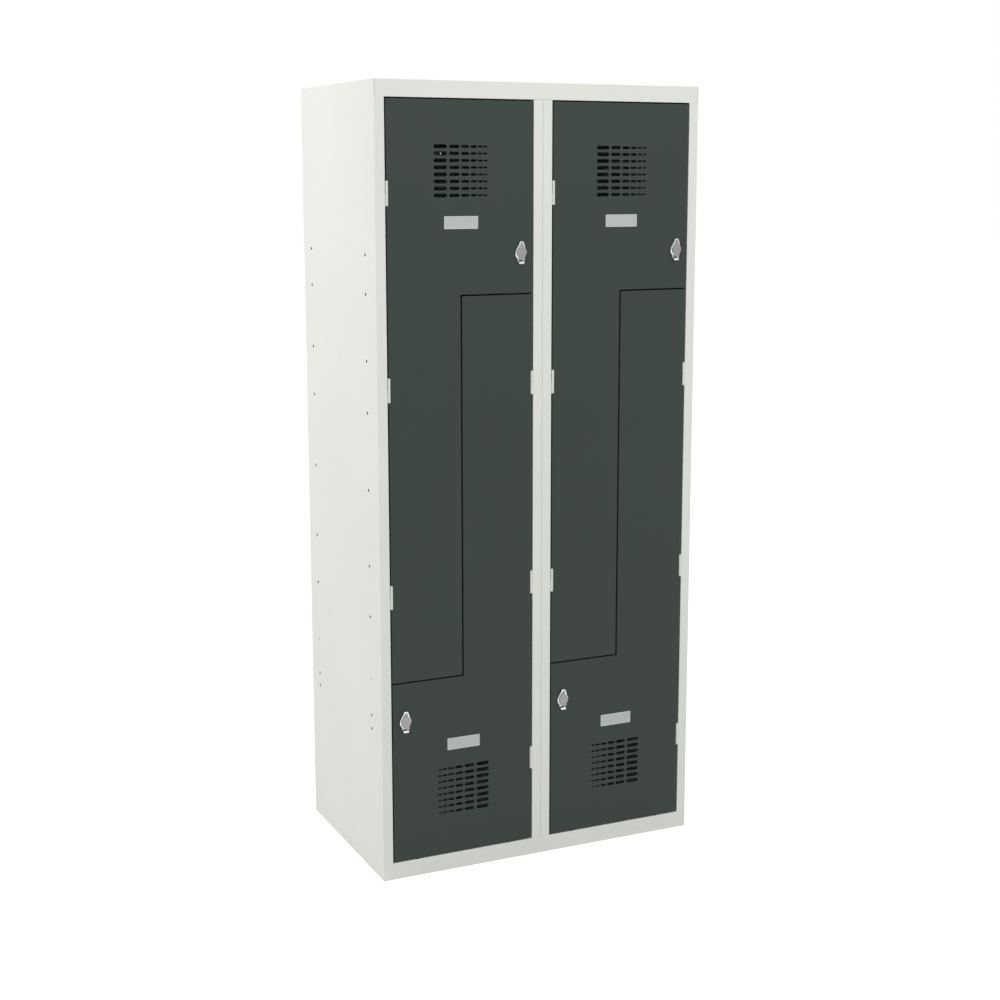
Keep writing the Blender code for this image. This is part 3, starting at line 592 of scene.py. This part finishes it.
# Door stiffeners. A hat-shaped channel of the same sheet runs up the inside of each door's long leg, and is
# spot-welded by its two flanges.
HAT_X = -0.118
HAT_HALF = 0.015
HAT_FLANGE = 0.013
HAT_DEPTH = 0.0125
HAT_END = 0.006

foot_y = SHEET + CLEARANCE
hat = [(-HAT_HALF - HAT_FLANGE, foot_y), (-HAT_HALF, foot_y), (-HAT_HALF, HAT_DEPTH), (HAT_HALF, HAT_DEPTH),
       (HAT_HALF, foot_y), (HAT_HALF + HAT_FLANGE, foot_y)]
shape = put(swept(sheet_profile(hat, SHEET), door_foot + HAT_END, door_top - HAT_END), place=(HAT_X, 0, 0))
pattern = solid("stiffener_pattern", shape, dark_coat)
for name, (section_x, way_up) in DOORS.items():
    channel = hung(f"{name}_stiffener", pattern, section_x, way_up)
    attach(channel, name)
bpy.data.objects.remove(pattern)


# Coat peg. A turned steel pin with a ball on its inner end, in a strap that is welded to the left upper
# door's stiffener. The strap holds the peg, but its near-black rubber finish is painted shade, so that it
# reads as the dark inside of the door behind the vent slot. Its polished front end shows as a bright point
# in one of the vent slots.
PEG_X = -0.0462
PEG_Z = 0.7434
PEG_RADIUS = 0.0019
PEG_TIP_RADIUS = 0.0006
PEG_EDGE = 0.0005
PEG_FRONT = 0.0016
PEG_BACK = 0.024
PEG_BALL = 0.0038
STRAP_HALF = 0.003
STRAP_NEAR = -0.108
STRAP_FAR = -0.039
PEG_SIDES = 32

turn = np.linspace(-np.radians(55), np.radians(80), 12)
ball = np.column_stack([PEG_BALL * np.cos(turn), PEG_BACK + PEG_BALL + PEG_BALL * np.sin(turn)])
pin = [(PEG_TIP_RADIUS, PEG_FRONT), (PEG_RADIUS - PEG_EDGE, PEG_FRONT + 2 * CLEARANCE),
       (PEG_RADIUS, PEG_FRONT + 2 * CLEARANCE + PEG_EDGE)]
section_x, way_up = DOORS["left_upper_door"]
spot = (section_x + PEG_X, FRONT_Y, opening_mid + PEG_Z)
pin = standing(turned(np.vstack([pin, ball]), PEG_SIDES))
strap = block((STRAP_NEAR - PEG_X, HAT_DEPTH, -STRAP_HALF),
              (STRAP_FAR - PEG_X, HAT_DEPTH + SHEET, STRAP_HALF))
# The strap's near-black rubber finish is painted shade for the inside of the door behind the slot.
for part, shape, finish in (("pin", pin, rivet_metal), ("strap", strap, rubber)):
    peg = solid(f"left_upper_door_coat_peg_{part}", put(shape, place=spot), finish)
    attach(peg, "left_upper_door")


# Hinges. Three lift-off hinges to a door, 54 mm tall and coated white: the lower knuckle and its pin stand
# on a leaf welded to the stile's return, and the upper knuckle drops over the pin from the door's leaf.
KNUCKLE_ROUND = 0.0013
KNUCKLE_EDGE = 0.0003
PIN_RADIUS = 0.0015
PIN_EDGE = 0.0004
PIN_END = 0.0236
BORE_RADIUS = 0.0019
BORE_END = 0.024
LEAF = 0.001
LEAF_DEPTH = 0.015
KNUCKLE_SIDES = 36

turn = np.linspace(0, np.pi / 2, 7)
round_end = np.column_stack([HINGE_RADIUS - KNUCKLE_ROUND + KNUCKLE_ROUND * np.cos(turn),
                             HINGE_HALF - KNUCKLE_ROUND + KNUCKLE_ROUND * np.sin(turn)])
joint = [(HINGE_RADIUS - KNUCKLE_EDGE, SEAM / 2), (HINGE_RADIUS, SEAM / 2 + KNUCKLE_EDGE)]
upper_knuckle = np.vstack([[(BORE_RADIUS, BORE_END), (BORE_RADIUS, SEAM / 2)], joint, round_end])
lower_knuckle = np.vstack([joint, round_end]) * (1, -1)
lower_knuckle = np.vstack([[(PIN_RADIUS - PIN_EDGE, PIN_END), (PIN_RADIUS, PIN_END - PIN_EDGE),
                            (PIN_RADIUS, -SEAM / 2)], lower_knuckle])
clear = HINGE_RADIUS + HINGE_PLAY
door_leaf_side = [(LEAF_DEPTH, -HINGE_HALF), (LEAF_DEPTH, HINGE_HALF), (0, HINGE_HALF), (0, SEAM / 2),
                  (clear, SEAM / 2), (clear, -HINGE_HALF)]
frame_leaf_side = [(LEAF_DEPTH, -HINGE_HALF), (LEAF_DEPTH, HINGE_HALF), (clear, HINGE_HALF),
                   (clear, -SEAM / 2), (0, -SEAM / 2), (0, -HINGE_HALF)]
far = HINGE_REACH - LEAF - HINGE_PLAY
patterns = {}
for side, mirror in (("left", -1), ("right", 1)):
    for leaf, knuckle, outline, inner, outer in (
            ("door_leaf", upper_knuckle, door_leaf_side, far - LEAF, far),
            ("frame_leaf", lower_knuckle, frame_leaf_side, HINGE_REACH - LEAF, HINGE_REACH)):
        pattern = solid(f"{side}_{leaf}_pattern", put(swept(outline, inner, outer), (2, 0, 1),
                                                      (mirror, 1, 1)), white_coat)
        carve(pattern, turned(knuckle, KNUCKLE_SIDES), "UNION")
        patterns[side, leaf] = pattern
        if leaf == "door_leaf":
            carve(pattern, turned([(BORE_RADIUS, -CUT_OVERRUN), (BORE_RADIUS, BORE_END)], KNUCKLE_SIDES))

for name, (section_x, way_up) in DOORS.items():
    side = "left" if way_up > 0 else "right"
    for number, rise in enumerate(HINGE_RISES, 1):
        spot = (section_x - way_up * HINGE_X, FRONT_Y, opening_mid + way_up * rise)
        for leaf, body in (("door_leaf", name), ("frame_leaf", "cabinet")):
            mesh = patterns[side, leaf].data.copy()
            mesh.transform(Matrix.Translation(spot))
            hinge = piece(f"{name}_hinge_{number}_{leaf}_rolled", mesh, white_coat)
            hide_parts(f"{name}_hinge_{number}_{leaf}")
            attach(hinge, body)
for pattern in patterns.values():
    bpy.data.objects.remove(pattern)


# Label holders. A moulded frame of pale plastic on each door, stuck on, with a blank card behind its clear
# window.
LABEL_HALF_X = 0.0405
LABEL_HALF_Z = 0.014
LABEL_THICK = 0.0012
CARD_THICK = 0.0007
LABEL_RIM = 0.0024
LABEL_CORNER = 0.0015
LEAST_CORNER = 0.0005
LABEL_Z = 0.595


def softened(corners, radius, steps=5):
    """A closed outline with its corners rounded: from a point before the corner to one after it, along the
    curve (1 - t)^2 A + 2 t (1 - t) P + t^2 B."""
    corner = np.array(corners, float)
    to_last = np.roll(corner, 1, axis=0) - corner
    to_next = np.roll(corner, -1, axis=0) - corner
    spans = [np.linalg.norm(way, axis=1, keepdims=True) for way in (to_last, to_next)]
    before, after = [way / span * np.minimum(radius, 0.45 * span)
                     for way, span in zip((to_last, to_next), spans)]
    t = np.linspace(0, 1, steps)[None, :, None]
    corner, before, after = corner[:, None], before[:, None], after[:, None]
    curve = corner + (1 - t) ** 2 * before + t ** 2 * after
    return curve.reshape(-1, 2)


def raised(shape, spot=(0, 0, 0)):
    """A shape drawn in x, z and height off the door's face, put at a place."""
    return put(shape, (0, 2, 1), (1, -1, 1), spot)


def mottled(name, colour, grain_width):
    """A matt surface with a faint mottle, such as uncoated card or moulded plastic."""
    finish, tree, shader = bare_finish(name)
    place = add(tree, "ShaderNodeTexCoord").outputs["Object"]
    grain = add(tree, "ShaderNodeTexNoise", None,
                {"Vector": place, "Scale": 1 / grain_width, "Detail": 5.0})
    shade = add(tree, "ShaderNodeValToRGB", None, {"Fac": grain.outputs["Fac"]})
    shade.color_ramp.elements[0].color = srgb(colour, 0.93)
    shade.color_ramp.elements[1].color = srgb(colour, 1.07)
    tree.links.new(shade.outputs["Color"], shader.inputs["Base Color"])
    shader.inputs["Roughness"].default_value = 0.55
    return finish


card_finish = mottled("blank_grey_card", "#BBBDBC", 0.0015)
holder_finish = mottled("pale_moulded_plastic", "#C9CBCA", 0.004)


def plate_rings(profile):
    """The plate's outline, inset and raised as each row of the profile says. The corners' radius shrinks by
    the inset, down to half a millimetre."""
    rings = []
    for inset, rise in profile:
        x, z = LABEL_HALF_X - inset, LABEL_HALF_Z - inset
        radius = max(LABEL_CORNER - inset, LEAST_CORNER)
        outline = softened([(-x, -z), (x, -z), (x, z), (-x, z)], radius)
        rings.append(np.insert(outline, 2, rise, axis=1))
    return np.stack(rings)


rim = [(0, SEAM), (0, SEAM + 0.0008), (0.0002, SEAM + 0.0011), (0.0005, SEAM + LABEL_THICK),
       (LABEL_RIM - 0.0004, SEAM + LABEL_THICK), (LABEL_RIM, SEAM + 0.0009), (LABEL_RIM, SEAM)]
card = [(LABEL_RIM + CLEARANCE, SEAM), (LABEL_RIM + CLEARANCE, SEAM + CARD_THICK)]
for name, (section_x, way_up) in DOORS.items():
    spot = (section_x, FRONT_Y, opening_mid + way_up * LABEL_Z)
    for part, shape, finish in (("holder", loft(plate_rings(rim), True), holder_finish),
                                ("card", loft(plate_rings(card)), card_finish)):
        plate = solid(f"{name}_label_{part}", raised(shape, spot), finish)
        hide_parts(f"{name}_label")
        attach(plate, name)


# Padlock latches. A chromed zinc casting on the door's face, whose threaded stem goes through to a nut. Its
# upper lug stands off the door and takes the padlock's shackle, and its knob turns the cam on the inside.
BODY_RADIUS = 0.0143
BODY_THICK = 0.0053
BODY_ROUND = 0.0024
LOW_EDGE = 0.006
LOW_CHAMFER = (0.0024, 0.0028)
LUG_THICK = 0.0075
LUG_ROUND = 0.0009
LATCH_FLOOR = 0.0013
EYE_RADIUS = 0.0036
EYE_FOOT_HALF = 0.0046
EYE_FOOT = 0.018
EYE_TOP = 0.0232
SHACKLE_GAP = 0.0043
SHACKLE_FOOT = 0.0203
KNOB_SWEEP = 0.0189
WINDOW_HALF = 0.0054
FOOT_WINDOW = (-0.0188, -0.0155)
LUG_WINDOW = (0.0158, 0.0172)
CUT_REACH = 0.02
DOWEL_SIDES = 40
SWEEP_SIDES = 96
KNOB_RADIUS = 0.0117
STEM_RADIUS = 0.008
STEM_SIDES = 48
STEM_LENGTH = 0.012
THREAD_PITCH = 0.001
THREAD_DEPTH = 0.0004
SPINDLE_RADIUS = 0.0037
BODY_CORNER = 0.0033
LUG_CORNER = 0.0014
KNOB_CORNER = 0.0026
NUT_SIDES = 48
NUT_CHAMFER = 1.05
NUT_EDGE = 0.12
NUT_FLAT = 0.011
NUT_THICK = 0.0032
CAM_HALF = 0.008
CAM_REACH = 0.0417
CAM_PLAY = 0.001
CAM_THICK = 0.002
CAM_CORNER = 0.003
CAM_EDGE = 0.0003
SPINDLE_GRIP = 0.001
SCREW_FLAT = 0.0035
SCREW_SOCKET = 0.0009
SCREW_HEIGHT = 0.0034
WASHER_RADIUS = 0.0058
WASHER_BORE = 0.001
WASHER_HEIGHT = 0.0009
WASHER_SIDES = 36
KNOB_FOOT = SEAM + BODY_THICK + SEAM
KNOB_FACE = 0.0083

chrome = plated_metal("bright_chrome_plating", "#D2D3D4", 0.06, 0.16, 0.006)
satin_chrome = plated_metal("satin_chrome_plating", "#918F8F", 0.3, 0.38, 0.003)


def dowel(radius, low, high, sides=DOWEL_SIDES):
    """A plain cylinder between two heights off the face."""
    return raised(turned([(radius, low), (radius, high)], sides))


def casting(outline, top, edge, chamfer=None):
    """A flat-backed casting whose top edge is a quarter round. From the pivot down to LOW_EDGE below it,
    this changes into a chamfer of a given width and depth, where there is one."""
    turn = np.linspace(0, np.pi / 2, 7)
    round_edge = np.column_stack([edge * (1 - np.cos(turn)), top - edge * (1 - np.sin(turn))])
    low_edge = round_edge
    if chamfer:
        low_edge = np.linspace((0, top - chamfer[1]), (chamfer[0], top), len(turn))
    soft, steep = [stacked(outline, np.vstack([[(0, SEAM)], edge])) for edge in (round_edge, low_edge)]
    share = np.clip(1 + np.asarray(outline)[:, 1] / LOW_EDGE, 0, 1)[None, :, None]
    return raised(loft(share * soft + (1 - share) * steep))


def both_sides(right, radius):
    """A closed outline from its right side, given from foot to top, with its corners rounded."""
    return softened(right + [(-x, z) for x, z in reversed(right)], radius, 6)


foot = [(0.0062, -0.0244), (0.0072, -0.0175)]
lug = [(0.0078, 0.0165), (0.0043, 0.0258)]
turn = np.radians(np.linspace(-47, 39, 19))
side = list(zip(BODY_RADIUS * np.cos(turn), BODY_RADIUS * np.sin(turn)))
outline = both_sides(foot + side + lug, BODY_CORNER)
body_pattern = solid("body_pattern", casting(outline, SEAM + BODY_THICK, BODY_ROUND, LOW_CHAMFER), chrome)
for right in (foot + [(0.0087, -0.012)], [(0.0095, 0.012)] + lug):
    carve(body_pattern, casting(both_sides(right, LUG_CORNER), SEAM + LUG_THICK, LUG_ROUND), "UNION")
carve(body_pattern, dowel(KNOB_SWEEP, SEAM + BODY_THICK, LUG_THICK + CUT_OVERRUN, SWEEP_SIDES))
for low, high in (
        ((-WINDOW_HALF, FOOT_WINDOW[0], -CUT_OVERRUN), (WINDOW_HALF, FOOT_WINDOW[1], LUG_THICK)),
        ((-WINDOW_HALF, LUG_WINDOW[0], -CUT_OVERRUN), (WINDOW_HALF, LUG_WINDOW[1], LUG_THICK)),
        ((-CUT_REACH, SHACKLE_FOOT, -CUT_OVERRUN), (CUT_REACH, 2 * CUT_REACH, LATCH_FLOOR + SHACKLE_GAP)),
        ((-CUT_REACH, FOOT_WINDOW[0], LATCH_FLOOR), (CUT_REACH, FOOT_WINDOW[1], LUG_THICK + CUT_OVERRUN))):
    carve(body_pattern, raised(block(low, high)))
turn = np.linspace(0, np.pi, 21)
arch = np.column_stack([EYE_RADIUS * np.cos(turn), EYE_TOP - EYE_RADIUS + EYE_RADIUS * np.sin(turn)])
eye = np.vstack([[(-EYE_FOOT_HALF, EYE_FOOT), (EYE_FOOT_HALF, EYE_FOOT)], arch])
carve(body_pattern, raised(swept(eye, LATCH_FLOOR, LUG_THICK + CUT_OVERRUN)))
carve(body_pattern, dowel(SPINDLE_RADIUS + SEAM, -CUT_OVERRUN, LUG_THICK + CUT_OVERRUN))

turns = np.arange(0, round(STEM_LENGTH / THREAD_PITCH))
crest = np.column_stack([np.full(len(turns), STEM_RADIUS), -(turns + 0.5) * THREAD_PITCH])
root = np.column_stack([np.full(len(turns), STEM_RADIUS - THREAD_DEPTH), -(turns + 1) * THREAD_PITCH])
thread = np.stack([crest, root], axis=1).reshape(-1, 2)
bore = [(SPINDLE_RADIUS + SEAM, -STEM_LENGTH), (SPINDLE_RADIUS + SEAM, SEAM)]
stem = np.vstack([[(STEM_RADIUS - THREAD_DEPTH, SEAM)], thread, bore])
stem_shape = raised(turned(stem, STEM_SIDES, True))


def hexagon_nut(flat, bore_radius, low, high):
    """A hexagon nut, as rings of points about its bore. Its radius at an angle is the flat's distance over
    the cosine of the angle from that flat's middle, and its corners are chamfered at both faces."""
    angle = np.arange(NUT_SIDES) * 2 * np.pi / NUT_SIDES
    hexagon = flat / np.cos((angle + np.pi / 6) % (np.pi / 3) - np.pi / 6)
    chamfered = np.minimum(hexagon, NUT_CHAMFER * flat)
    hole = 0 * angle + bore_radius
    edge = NUT_EDGE * (high - low)
    radius = np.stack([hole, chamfered, hexagon, hexagon, chamfered, hole])[..., None]
    height = np.array([low, low, low + edge, high - edge, high, high])[:, None]
    rings = np.concatenate([radius * np.stack([np.cos(angle), np.sin(angle)], axis=-1),
                            np.broadcast_to(height, (6, NUT_SIDES))[..., None]], axis=2)
    return raised(loft(rings, True))


nut_face = -SHEET - CLEARANCE
nut_shape = hexagon_nut(NUT_FLAT, STEM_RADIUS - THREAD_DEPTH + CLEARANCE, nut_face - NUT_THICK, nut_face)

turn = np.radians(np.linspace(-22, 27, 9))
side = list(zip(KNOB_RADIUS * np.cos(turn), KNOB_RADIUS * np.sin(turn)))
outline = both_sides([(0.0046, -0.0158)] + side + [(0.004, 0.0154)], KNOB_CORNER)
knob_profile = [(0.0004, KNOB_FOOT), (0, KNOB_FOOT + 0.0003), (0, KNOB_FACE - 0.0008),
                (0.0001, KNOB_FACE - 0.0004), (0.0004, KNOB_FACE - 0.0001), (0.0008, KNOB_FACE),
                (0.0014, KNOB_FACE), (0.0017, KNOB_FACE - 0.0001), (0.0019, KNOB_FACE - 0.0004),
                (0.0024, KNOB_FACE - 0.0004)]
knob_pattern = solid("knob_pattern", raised(loft(stacked(outline, knob_profile))), satin_chrome)
cam_near = -DOOR_DEPTH - CAM_PLAY
cam_far = cam_near - CAM_THICK
carve(knob_pattern, dowel(SPINDLE_RADIUS, cam_far - SEAM, KNOB_FOOT + SPINDLE_GRIP), "UNION")

turn = np.linspace(0, np.pi, 25)
outline = list(zip(CAM_HALF * np.cos(turn), CAM_HALF * np.sin(turn)))
outline = softened(outline + [(-CAM_HALF, -CAM_REACH), (CAM_HALF, -CAM_REACH)], CAM_CORNER, 6)
cam_profile = [(CAM_EDGE, cam_far), (0, cam_far + CAM_EDGE), (0, cam_near - CAM_EDGE), (CAM_EDGE, cam_near)]
cam_pattern = solid("cam_pattern", raised(loft(stacked(outline, cam_profile))), zinc)
carve(cam_pattern, dowel(SPINDLE_RADIUS + SEAM, cam_far - CUT_OVERRUN, cam_near + CUT_OVERRUN))
screw_shape = hexagon_nut(SCREW_FLAT, SCREW_SOCKET, cam_far - SCREW_HEIGHT, cam_far - SEAM)
washer_shape = raised(turned([(WASHER_RADIUS, cam_far - WASHER_HEIGHT), (WASHER_RADIUS, cam_far - SEAM),
                              (WASHER_BORE, cam_far - SEAM), (WASHER_BORE, cam_far - WASHER_HEIGHT)],
                             WASHER_SIDES, True))

for name, (section_x, way_up) in DOORS.items():
    spot = (section_x + way_up * LATCH_X, FRONT_Y, opening_mid + way_up * LATCH_Z)
    for part, shape, finish, body, replaced, steel in (
            ("body", body_pattern, chrome, name, "latch_body", "chrome_plate"),
            ("knob", knob_pattern, satin_chrome, f"{name}_latch", "latch_knob", "chrome_plate"),
            ("cam", cam_pattern, zinc, f"{name}_latch", "latch_cam", "zinc_plated_steel")):
        mesh = shape.data.copy()
        mesh.transform(Matrix.Translation(spot))
        latch = piece(f"{name}_latch_{part}_cast", mesh, finish)
        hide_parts(f"{name}_{replaced}")
        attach(latch, body)
    for part, shape, finish, body, steel in (
            ("stem", stem_shape, chrome, name, "chrome_plate"),
            ("nut", nut_shape, zinc, name, "zinc_plated_steel"),
            ("washer", washer_shape, zinc, f"{name}_latch", "zinc_plated_steel"),
            ("screw", screw_shape, zinc, f"{name}_latch", "zinc_plated_steel")):
        latch = solid(f"{name}_latch_{part}", put(shape, place=spot), finish)
        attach(latch, body)
for pattern in (body_pattern, knob_pattern, cam_pattern):
    bpy.data.objects.remove(pattern)


# Floor, light and camera. A pale studio floor, a white surround, one wide soft lamp high in front, one at
# the left for the side panel, and the camera where the photograph was taken from.
FLOOR_HALF = 30.0
FLOOR_GLOW = 0.8
AMBIENT = 0.526
LAMPS = {"front_lamp": (157.0, 2.6, (0.6, -5.0, 4.4), (54.7, 0, 7.2)),
         "left_lamp": (68.0, 1.6, (-3.2, 0.9, 2.9), (59, 0, -106))}
CAMERA_PLACE = (-1.67326, -3.63436, 1.59556)
CAMERA_TURN = math.radians(25.0433)
CAMERA_TILT = math.radians(-9.9632)
CAMERA_LENS = 60.09
CAMERA_SHIFT = (-0.0074, -0.0302)
SENSOR_WIDTH = 36


def seen_directly(tree):
    """1 for rays from the camera, from a mirror or through glass, and otherwise 0."""
    path = add(tree, "ShaderNodeLightPath")
    either = add(tree, "ShaderNodeMath", {"operation": "MAXIMUM"},
                 {0: path.outputs["Is Camera Ray"], 1: path.outputs["Is Glossy Ray"]})
    return add(tree, "ShaderNodeMath", {"operation": "MAXIMUM"},
               {0: either.outputs[0], 1: path.outputs["Is Transmission Ray"]}).outputs[0]


floor_paint, tree, shader = bare_finish("pale_studio_floor")
shader.inputs["Base Color"].default_value = srgb("#C6C6C5")
shader.inputs["Roughness"].default_value = 0.8
shader.inputs["Specular IOR Level"].default_value = 0.1
shader.inputs["Emission Color"].default_value = srgb("#FFFFFF")
glow = add(tree, "ShaderNodeMath", {"operation": "MULTIPLY"}, {0: seen_directly(tree), 1: FLOOR_GLOW})
tree.links.new(glow.outputs[0], shader.inputs["Emission Strength"])
mesh = bpy.data.meshes.new("studio_floor")
mesh.from_pydata([(-FLOOR_HALF, -FLOOR_HALF, 0), (FLOOR_HALF, -FLOOR_HALF, 0), (FLOOR_HALF, FLOOR_HALF, 0),
                  (-FLOOR_HALF, FLOOR_HALF, 0)], [], [(0, 1, 2, 3)])
studio_floor = piece("studio_floor", mesh, floor_paint)

surround = bpy.data.worlds.new("white_surround")
surround.use_nodes = True
tree = surround.node_tree
direct = seen_directly(tree)
strength = add(tree, "ShaderNodeMapRange", None, {"Value": direct, "To Min": AMBIENT, "To Max": 1.0})
tree.links.new(strength.outputs["Result"], tree.nodes["Background"].inputs["Strength"])
tree.nodes["Background"].inputs["Color"].default_value = srgb("#FFFFFF")
bpy.context.scene.world = surround

for name, (power, size, spot, turn) in LAMPS.items():
    lamp = bpy.data.lights.new(name, "AREA")
    lamp.energy = power
    lamp.size = size
    stand = bpy.data.objects.new(name, lamp)
    stand.location = spot
    stand.rotation_euler = Euler([math.radians(angle) for angle in turn])
    bpy.context.scene.collection.objects.link(stand)

lens = bpy.data.cameras.new("camera")
lens.lens = CAMERA_LENS
lens.sensor_width = SENSOR_WIDTH
lens.shift_x, lens.shift_y = CAMERA_SHIFT
camera = bpy.data.objects.new("camera", lens)
camera.location = CAMERA_PLACE
camera.rotation_euler = (math.pi / 2 + CAMERA_TILT, 0, -CAMERA_TURN)
bpy.context.scene.collection.objects.link(camera)
bpy.context.scene.camera = camera
bpy.context.scene.view_settings.view_transform = "Standard"
